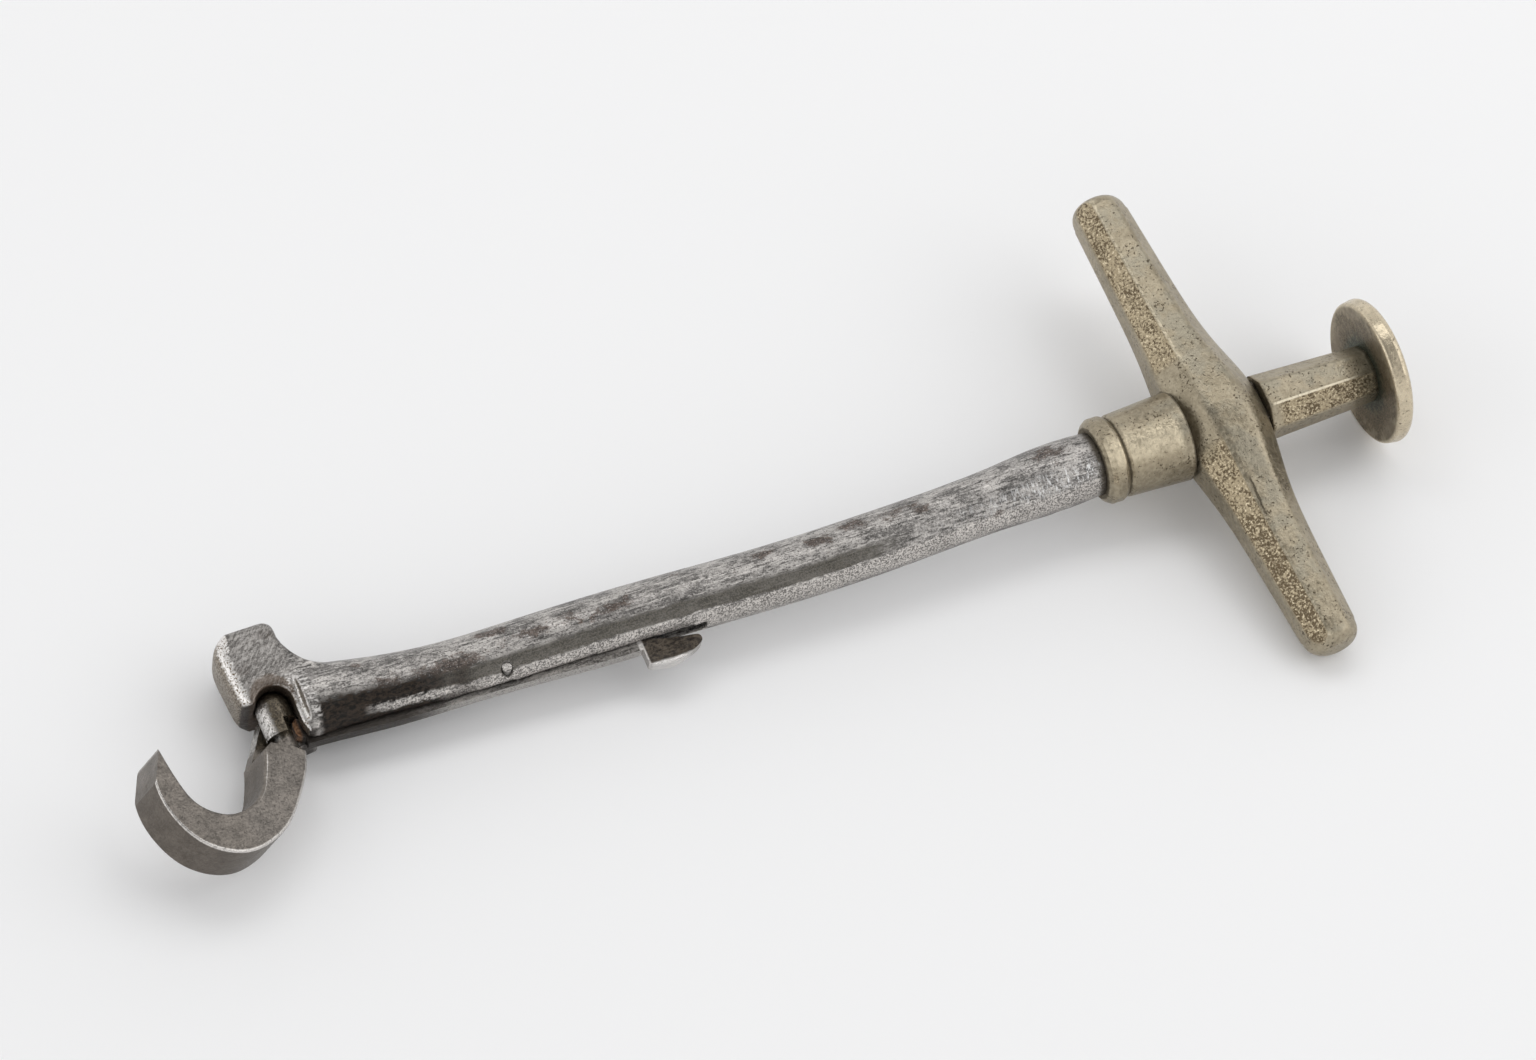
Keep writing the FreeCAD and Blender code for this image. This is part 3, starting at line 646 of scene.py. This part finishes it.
def lever_regions(s, at, colour, roughness):
    """The lever: a rusty nose, a dark end beside it, a bright side, and a pad whose hollow top is
    painted dark as shade, with a bright lip and rim."""
    orange = s.mix(s.ramp(at.fine, 0.4, 0.6), NOSE_DARK, NOSE_LIGHT)
    colour = s.paint(colour, s.ramp(at.x, *NOSE_ALONG), 0.9, orange)
    torn_x = s.plus(at.x, s.uneven(at.fine, 5.0))
    dark_end = s.times(s.ramp(torn_x, *LEVER_DARK_ALONG), s.ramp(at.x, *reversed(NOSE_ALONG)))
    colour = s.paint(colour, dark_end, 0.85, LEVER_END)
    side = s.times(s.ramp(at.ny, -0.25, -0.55), s.ramp(torn_x, *LEVER_BRIGHT_ALONG))
    colour = s.mix(s.times(side, s.ramp(at.grain, 0.60, 0.50, 0.3, 0.9)), colour, grey(0.52, 0.05))
    pad = s.ramp(at.x, *PAD_ALONG)
    # Painted shade on the pad's hollow top
    dished = s.mix(s.ramp(at.fine, 0.40, 0.60), PAD_SHADE_DARK, PAD_SHADE_LIGHT)
    colour = s.paint(colour, s.times(pad, s.ramp(at.nz, 0.6, 0.85)), 0.9, dished)
    lip = s.times(s.between(at.x, *PAD_LIP), s.ramp(at.fine, 0.35, 0.50, 0.4, 1.0))
    colour = s.paint(colour, lip, 0.7, grey(0.66, 0.04))
    rim = s.times(pad, s.ramp(s.plus(at.y, s.times(at.fine, 0.5)), *PAD_RIM))
    colour = s.paint(colour, rim, 0.85, grey(0.74, 0.03))
    roughness = s.blend(s.larger(side, rim), roughness, 0.26)
    return colour, roughness


def nickel_silver(name):
    """Pale cast nickel silver: smooth on top, pitted on the facets that face the claw, and
    with grime in the joints."""
    s = Shader(name)
    place = s.tool_place()
    cloud = s.noise(place, *NICKEL_CLOUD)
    fine = s.noise(place, *NICKEL_FINE)
    at = Surface(s, place, fine, s.noise(place, *NICKEL_GRAIN))
    from_hub = s.larger(s.minus(at.y, 3.5), s.times(at.y, -1.0))
    tone = s.plus(s.times(cloud, 0.4), s.times(fine, 0.6))
    colour = s.mix(s.ramp(tone, 0.40, 0.60), NICKEL_DARK, NICKEL_LIGHT)
    haze = s.times(s.ramp(at.nz, 0.80, 0.97), s.ramp(s.noise(place, *NICKEL_HAZES), 0.44, 0.60))
    colour = s.paint(colour, haze, 0.5, NICKEL_HAZE)
    clusters = s.uneven(s.noise(place, *NICKEL_CLUSTERS), 0.35)
    specks = s.ramp(s.plus(s.noise(place, *NICKEL_SPOTS), clusters), 0.62, 0.66)
    colour = s.paint(colour, specks, 0.85, NICKEL_SPECK)
    # Painted highlights on the edges between facets
    colour = painted_ridge_highlights(s, at, colour, from_hub)
    # Painted shade of a crease on the lower arm
    colour = s.paint(colour, painted_crease_shade(s, at), 0.8, CREASE_SHADE)
    rough_facet = rough_facets(s, at, from_hub)
    colour, pocks = pitted(s, at, colour, rough_facet)
    # Painted highlight on the ferrule, and painted shade of a scoop on the hub
    colour = ferrule_highlight_and_scoop_shade(s, at, colour)
    joints = joint_grime(s, at)
    colour = s.paint(colour, joints, 0.60, GRIME)
    green = s.times(s.ramp(s.plus(at.x, s.times(fine, 3.0)), *STEM_GREEN_ALONG),
                    s.ramp(at.x, *STEM_GREEN_END))
    colour = s.paint(colour, green, 0.50, STEM_GREEN)
    roughness = s.blend(rough_facet, s.ramp(fine, 0.3, 0.7, 0.27, 0.40), 0.42)
    roughness = s.blend(s.larger(joints, green), roughness, 0.60)
    normal = s.bump(s.minus(s.minus(1.0, s.times(specks, 0.5)), s.times(pocks, 0.5)), 0.10)
    normal = s.bump(fine, 0.05, normal)
    normal = s.bump(cloud, 0.25, normal)
    return s.finish(colour, roughness, 0.88, normal)


def rough_facets(s, at, from_hub):
    """The facets left as cast: those of the arms and the stem, and faintly the ferrule's side."""
    torn = s.plus(at.nx, s.uneven(at.fine, 0.25))
    on_arm = s.times(s.between(torn, -0.90, -0.46, 0.05), s.ramp(at.nz, 0.35, 0.55),
                     s.ramp(from_hub, 3.6, 5.2))
    on_stem = s.times(s.ramp(at.x, *STEM_FACET_ALONG), s.between(at.ny, -0.90, -0.48, 0.07),
                      s.ramp(at.nz, 0.35, 0.55))
    on_ferrule = s.times(s.ramp(at.x, *FERRULE_FACET_ALONG), s.between(at.ny, -0.75, -0.30, 0.15),
                         s.ramp(at.nz, 0.3, 0.6), 0.35)
    return s.maths("ADD", s.plus(on_arm, on_stem), on_ferrule, clamp=True)


def pitted(s, at, colour, rough_facet):
    """Gold facets with brown pocks and bright glints; the pocks thicken to the lower arm's end."""
    patchy = s.uneven(s.noise(at.place, *NICKEL_PATCHES), 0.45)
    depth = s.plus(at.grain, patchy, s.ramp(at.y, *LOWER_ARM_END, 0.0, 0.05))
    pocks = s.times(rough_facet, s.ramp(depth, 0.52, 0.58))
    colour = s.paint(colour, rough_facet, 0.6, FACET_GOLD)
    colour = s.paint(colour, pocks, 0.88, FACET_POCK)
    colour = s.paint(colour, s.times(rough_facet, s.ramp(at.grain, 0.43, 0.37)), 0.8, FACET_GLINT)
    return colour, pocks


def painted_ridge_highlights(s, at, colour, from_hub):
    """Painted highlights on the edges between facets, along the arms and the stem."""
    arm = s.times(s.between(at.nx, -0.44, -0.16, 0.05), s.ramp(at.nz, 0.6, 0.8), s.ramp(from_hub, 2.5, 5.0))
    colour = s.mix(s.times(arm, s.ramp(at.fine, 0.40, 0.60, 0.1, 0.6)), colour, ARM_RIDGE_HIGHLIGHT)
    stem = s.times(s.ramp(at.x, *STEM_RIDGE_FRONT), s.ramp(at.x, *STEM_RIDGE_BACK),
                   s.between(at.ny, -0.50, -0.20, 0.06), s.ramp(at.nz, 0.6, 0.8))
    return s.paint(colour, stem, 0.8, STEM_RIDGE_HIGHLIGHT)


def painted_crease_shade(s, at):
    """Painted shade of a crease along the lower arm's top; the crease itself is not modelled."""
    aside = s.plus(at.x, -CREASE_X, s.uneven(at.fine, 0.9))
    return s.times(s.ramp(s.maths("ABSOLUTE", aside), *CREASE_WIDTH), s.between(at.y, *CREASE_ACROSS),
                   s.ramp(at.nz, 0.5, 0.8))


def ferrule_highlight_and_scoop_shade(s, at, colour):
    """A painted highlight on the ferrule's side, and painted shade of a scoop on the hub beside it."""
    # Painted highlight on the ferrule's side
    painted_ferrule_highlight = s.times(s.ramp(at.x, *FERRULE_ALONG), s.between(at.ny, -0.62, -0.02, 0.14),
                       s.ramp(at.nz, 0.55, 0.8))
    colour = s.mix(s.times(painted_ferrule_highlight, s.ramp(at.fine, 0.35, 0.60, 0.45, 1.0)), colour, FERRULE_HIGHLIGHT)
    # Painted shade of a scoop on the hub, which is not modelled
    inverse = (1 / SCOOP_LENGTH, 1 / SCOOP_WIDTH, 0.2)
    middle = (-SCOOP_X / SCOOP_LENGTH, -SCOOP_Y / SCOOP_WIDTH, 0)
    from_scoop = s.plus(s.length(s.stretch(at.place, inverse, middle)), s.times(at.fine, 0.8))
    scoop = s.times(s.ramp(from_scoop, 1.7, 0.9), s.ramp(at.nz, 0.2, 0.5))
    return s.paint(colour, scoop, 0.65, SCOOP_SHADE)


def joint_grime(s, at):
    """Grime in the handle's joints, out to each joint's own distance from the axis."""
    from_axis = s.length(s.join(0.0, at.y, at.z))
    joints = 0.0
    for joint, width, reach in GRIME_JOINTS:
        away = s.plus(s.maths("ABSOLUTE", s.minus(at.x, joint)), s.uneven(at.fine, width * 2))
        inside = s.ramp(from_axis, reach + GRIME_RIM, reach - GRIME_RIM)
        joints = s.larger(joints, s.times(s.ramp(away, width * 1.5, width * 0.5), inside))
    return joints


def palm_metal():
    """The disc: brown tarnish on its front, a verdigris ring round the stem, a rubbed bright rim."""
    s = Shader("palm_metal")
    place = s.tool_place()
    x, y, z = s.axes(place)
    radius = s.length(s.join(0.0, y, z))
    cloud = s.noise(place, *DISC_CLOUD)
    fine = s.noise(place, *DISC_FINE)
    grain = s.noise(place, *DISC_GRAIN)
    face = s.ramp(x, *DISC_FACE)
    torn = s.plus(radius, s.uneven(fine, 4.0))
    colour = s.mix(s.ramp(cloud, 0.36, 0.62), DISC_DARK, DISC_LIGHT)
    inward = s.ramp(torn, *TARNISH_ROUND, 0.0, 0.4)
    brown = s.times(face, s.ramp(s.plus(cloud, inward), 0.50, 0.74, 0.0, 0.85))
    colour = s.mix(brown, colour, s.mix(s.ramp(grain, 0.4, 0.6), TARNISH_DARK, TARNISH_LIGHT))
    green = s.times(face, s.ramp(torn, *VERDIGRIS_ROUND, 0.0, 0.80))
    colour = s.mix(green, colour, s.mix(s.ramp(grain, 0.45, 0.6), VERDIGRIS_DARK, VERDIGRIS_LIGHT))
    rim = s.times(s.ramp(radius, *DISC_EDGE), s.ramp(fine, 0.25, 0.55, 0.3, 1.0))
    colour = s.paint(colour, rim, 0.75, DISC_RIM)
    specks = s.ramp(s.noise(place, *DISC_SPOTS), 0.62, 0.67)
    colour = s.paint(colour, specks, 0.8, DISC_SPECK)
    normal = s.bump(s.minus(1.0, specks), 0.07)
    normal = s.bump(cloud, 0.20, normal)
    return s.finish(colour, s.blend(rim, 0.46, 0.26), 0.85, normal)


def tool_matrix():
    """From the tool's own axes in millimetres to the scene."""
    return Matrix.Translation(TOOL_ZERO) @ LYING.to_matrix().to_4x4() @ Matrix.Scale(MM, 4)


def dress(node, material):
    """One CAD piece gets its material."""
    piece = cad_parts[node]
    piece.data.materials.clear()
    piece.data.materials.append(material)


def skin(name, rings, material, node, body="key"):
    """A smooth closed mesh through rings of points, which stands for a CAD piece."""
    mesh = bmesh.new()
    to_scene = tool_matrix()
    rows = [[mesh.verts.new(to_scene @ point) for point in ring] for ring in rings]
    for row, following in zip(rows, rows[1:]):
        for number in range(len(row)):
            after = (number + 1) % len(row)
            mesh.faces.new((row[number], row[after], following[after], following[number]))
    mesh.faces.new(rows[0])
    mesh.faces.new(rows[-1])
    bmesh.ops.recalc_face_normals(mesh, faces=mesh.faces)
    for face in mesh.faces:
        face.smooth = len(face.verts) == 4
    data = bpy.data.meshes.new(name)
    mesh.to_mesh(data)
    mesh.free()
    data.materials.append(material)
    piece = bpy.data.objects.new(name, data)
    bpy.context.scene.collection.objects.link(piece)
    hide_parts(node)
    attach(piece, body)


def worn_copy(name, node, material, body="key"):
    """A CAD piece's own form with its edges rubbed round, most of all at the bolster."""
    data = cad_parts[node].data.copy()
    piece = bpy.data.objects.new(name, data)
    bpy.context.scene.collection.objects.link(piece)
    remesh = piece.modifiers.new("even", "REMESH")
    remesh.mode = "VOXEL"
    remesh.voxel_size = WORN_VOXEL * MM
    apply_modifiers(piece)
    add_group(piece, "head", HEAD_START, HEAD_FADE)
    add_group(piece, "edge", EDGE_START, EDGE_FADE)
    for turns, group in ((WHOLE_ROUNDS, ""), (HEAD_ROUNDS, "head"), (EDGE_ROUNDS, "edge")):
        smooth = piece.modifiers.new("rub", "SMOOTH")
        smooth.iterations = turns
        smooth.vertex_group = group
    apply_modifiers(piece)
    piece.vertex_groups.clear()
    for face in piece.data.polygons:
        face.use_smooth = True
    piece.data.materials.clear()
    piece.data.materials.append(material)
    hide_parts(node)
    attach(piece, body)


def add_group(piece, name, start, fade):
    """A vertex group that grows from nothing to full past one place along X."""
    to_tool = tool_matrix().inverted()
    group = piece.vertex_groups.new(name=name)
    for vertex in piece.data.vertices:
        share = (start - (to_tool @ vertex.co).x) / fade
        if share > 0:
            group.add([vertex.index], min(1.0, share), "REPLACE")


def apply_modifiers(piece):
    graph = bpy.context.evaluated_depsgraph_get()
    mesh = bpy.data.meshes.new_from_object(piece.evaluated_get(graph))
    piece.modifiers.clear()
    piece.data = mesh


def soft_least(first, second, softness):
    """The smaller of two numbers, with the change between them rounded."""
    lower = min(first, second)
    total = math.exp((lower - first) / softness) + math.exp((lower - second) / softness)
    return lower - softness * math.log(total)


def worn_octagon(angle, half_flats, sharpness):
    """Reach of an octagon with rubbed corners; a large sharpness leaves them keen."""
    total = 0.0
    for side in range(8):
        total += max(0.0, math.cos(angle - side * math.pi / 4)) ** sharpness
    return half_flats / total ** (1 / sharpness)


def crossbar_places():
    """Places along the crossbar: even steps, and short ones where the tips round off."""
    low = -LOWER_REACH + TIP_ROUND
    high = UPPER_REACH - TIP_ROUND
    count = round((high - low) / BAR_STEP)
    tip = [TIP_ROUND * math.sin(math.pi / 2 * step / TIP_STEPS) for step in range(TIP_STEPS + 1)]
    lower_tip = [low - past for past in reversed(tip)]
    middle = [low + (high - low) * step / count for step in range(1, count)]
    upper_tip = [high + past for past in tip]
    return lower_tip + middle + upper_tip


def crossbar_ring(y):
    """One section: a worn octagon on the arms that melts into the round hub."""
    reach = UPPER_REACH if y > 0 else LOWER_REACH
    swell = math.exp(-(y / HUB_SPREAD) ** 2)
    half = (ARM_TIP_FLATS + ARM_TAPER * (reach - abs(y)) + HUB_SWELL * swell) / 2
    middle = HUB_OFFSET * swell - ARM_LEAN * y
    sharpness = ARM_SHARPNESS + (HUB_SHARPNESS - ARM_SHARPNESS) * math.exp(-(y / HUB_MELT) ** 2)
    past = max(0.0, abs(y) - (reach - TIP_ROUND))
    tip_radius = ARM_TIP_FLATS / 2 / math.cos(math.pi / 8) + ARM_TAPER * TIP_ROUND
    limit = tip_radius - TIP_ROUND + math.sqrt(max(0.0, TIP_ROUND ** 2 - past ** 2))
    ring = []
    for number in range(BAR_SIDES):
        angle = 2 * math.pi * number / BAR_SIDES
        radius = worn_octagon(angle, half, sharpness)
        if past > 0:
            radius = soft_least(radius, limit, TIP_SOFTNESS)
        x = middle + radius * math.sin(angle)
        x = soft_least(x, HUB_BACK, HUB_BACK_EDGE)
        x = -soft_least(-x, -HUB_FRONT, HUB_FRONT_EDGE)
        ring.append(Vector((x, y, radius * math.cos(angle))))
    return ring


def stem_ring(share):
    """One section of the stem, a worn octagon that narrows from the hub to the disc."""
    half = (STEM_FRONT_FLATS + (STEM_BACK_FLATS - STEM_FRONT_FLATS) * share) / 2
    x = HUB_BACK + STEM_LENGTH * share
    ring = []
    for number in range(BAR_SIDES):
        angle = 2 * math.pi * number / BAR_SIDES
        radius = worn_octagon(angle, half, STEM_SHARPNESS)
        ring.append(Vector((x, radius * math.sin(angle), radius * math.cos(angle))))
    return ring


def look_at(turn, height):
    """The way that a camera looks from one side and height."""
    level = math.cos(height)
    return Vector((math.sin(turn) * level, math.cos(turn) * level, -math.sin(height)))


def add_camera():
    forward = look_at(CAMERA_TURN, CAMERA_HEIGHT)
    data = bpy.data.cameras.new("camera")
    data.sensor_width = SENSOR_WIDTH
    data.lens = SENSOR_WIDTH * FOCAL_PIXELS / PHOTO_WIDTH
    data.clip_start = CAMERA_NEAR
    data.clip_end = CAMERA_FAR
    camera = bpy.data.objects.new("camera", data)
    level = forward.to_track_quat("-Z", "Y").to_matrix().to_4x4()
    camera.matrix_world = (Matrix.Translation(CAMERA_TARGET - forward * CAMERA_DISTANCE)
                           @ level @ Matrix.Rotation(-CAMERA_ROLL, 4, "Z"))
    bpy.context.scene.collection.objects.link(camera)
    bpy.context.scene.camera = camera
    return camera


def add_floor():
    bpy.ops.mesh.primitive_plane_add(size=FLOOR_SIZE, location=(0, 0, 0))
    floor = bpy.context.object
    floor.name = "table"
    s = Shader("table")
    s.principled.inputs["Specular IOR Level"].default_value = FLOOR_GLOSS
    floor.data.materials.append(s.finish(FLOOR_COLOUR, FLOOR_ROUGHNESS, 0.0))


def set_world():
    """A pale room: bright round the sides and dim overhead, as between two soft boxes."""
    world = bpy.data.worlds.new("room")
    bpy.context.scene.world = world
    world.use_nodes = True
    tree = world.node_tree
    tree.nodes.clear()
    output = tree.nodes.new("ShaderNodeOutputWorld")
    room = tree.nodes.new("ShaderNodeBackground")
    where = tree.nodes.new("ShaderNodeTexCoord")
    split = tree.nodes.new("ShaderNodeSeparateXYZ")
    rise = tree.nodes.new("ShaderNodeMapRange")
    rise.interpolation_type = "SMOOTHSTEP"
    rise.inputs["From Min"].default_value = ROOM_DIMS_FROM
    rise.inputs["From Max"].default_value = ROOM_DIMS_TO
    rise.inputs["To Min"].default_value = ROOM_SIDES
    rise.inputs["To Max"].default_value = ROOM_OVERHEAD
    tree.links.new(where.outputs["Generated"], split.inputs[0])
    tree.links.new(split.outputs[2], rise.inputs["Value"])
    tree.links.new(rise.outputs["Result"], room.inputs["Strength"])
    room.inputs["Color"].default_value = (1, 1, 1, 1)
    tree.links.new(room.outputs[0], output.inputs["Surface"])


def add_lamp(name, direction, distance, size, power):
    """A soft white lamp that shines from a direction at the tool."""
    data = bpy.data.lights.new(name, "AREA")
    data.shape = "RECTANGLE"
    data.size = size[0]
    data.size_y = size[1]
    data.energy = power
    lamp = bpy.data.objects.new(name, data)
    place = direction.normalized() * distance
    lamp.matrix_world = Matrix.Translation(place) @ (-place).to_track_quat("-Z", "Y").to_matrix().to_4x4()
    bpy.context.scene.collection.objects.link(lamp)


def light_the_table(camera):
    """A key from the camera's right, a weak fill, and a long strip that draws a line on the metal."""
    turn = camera.matrix_world.to_3x3()
    right = turn @ Vector((1, 0, 0))
    up = turn @ Vector((0, 1, 0))
    back = turn @ Vector((0, 0, 1))
    add_lamp("key", right + Vector((0, 0, KEY_LIFT)), KEY_DISTANCE, KEY_SIZE, KEY_POWER)
    add_lamp("strip", up * STRIP_UP + back * STRIP_BACK, STRIP_DISTANCE, STRIP_SIZE, STRIP_POWER)
    add_lamp("fill", back * FILL_BACK - right, FILL_DISTANCE, FILL_SIZE, FILL_POWER)


camera = add_camera()
add_floor()
set_world()
light_the_table(camera)

forged = worn_steel("forged_steel", stains=SHAFT_STAINS, regions=shaft_regions)
claw_metal = worn_steel("claw_steel", light=0.215, dark=0.100, stain_share=0.35, warm=0.12,
                        stretch=1.0, mottle=0.42, regions=claw_regions)
lever_metal = worn_steel("lever_steel", light=0.24, dark=0.08, warm=0.07, regions=lever_regions)
pin_metal = worn_steel("pin_steel", light=0.55, dark=0.30, stain_share=0.1)
spring_metal = worn_steel("spring_steel", light=0.16, dark=0.08, stain_share=0.2, warm=0.0)
handle_metal = nickel_silver("nickel_silver")
disc_metal = palm_metal()

worn_copy("worn_shaft", "shaft", forged)
dress("claw", claw_metal)
dress("latch_lever", lever_metal)
dress("latch_pin", pin_metal)
dress("latch_spring", spring_metal)
dress("spring_screw", spring_metal)
dress("ferrule", handle_metal)
dress("palm_disc", disc_metal)
crossbar_rings = [crossbar_ring(y) for y in crossbar_places()]
stem_rings = [stem_ring(step / STEM_STEPS) for step in range(STEM_STEPS + 1)]
skin("crossbar_skin", crossbar_rings, handle_metal, "crossbar")
skin("stem_skin", stem_rings, handle_metal, "stem")

bpy.context.scene.view_settings.view_transform = "Standard"
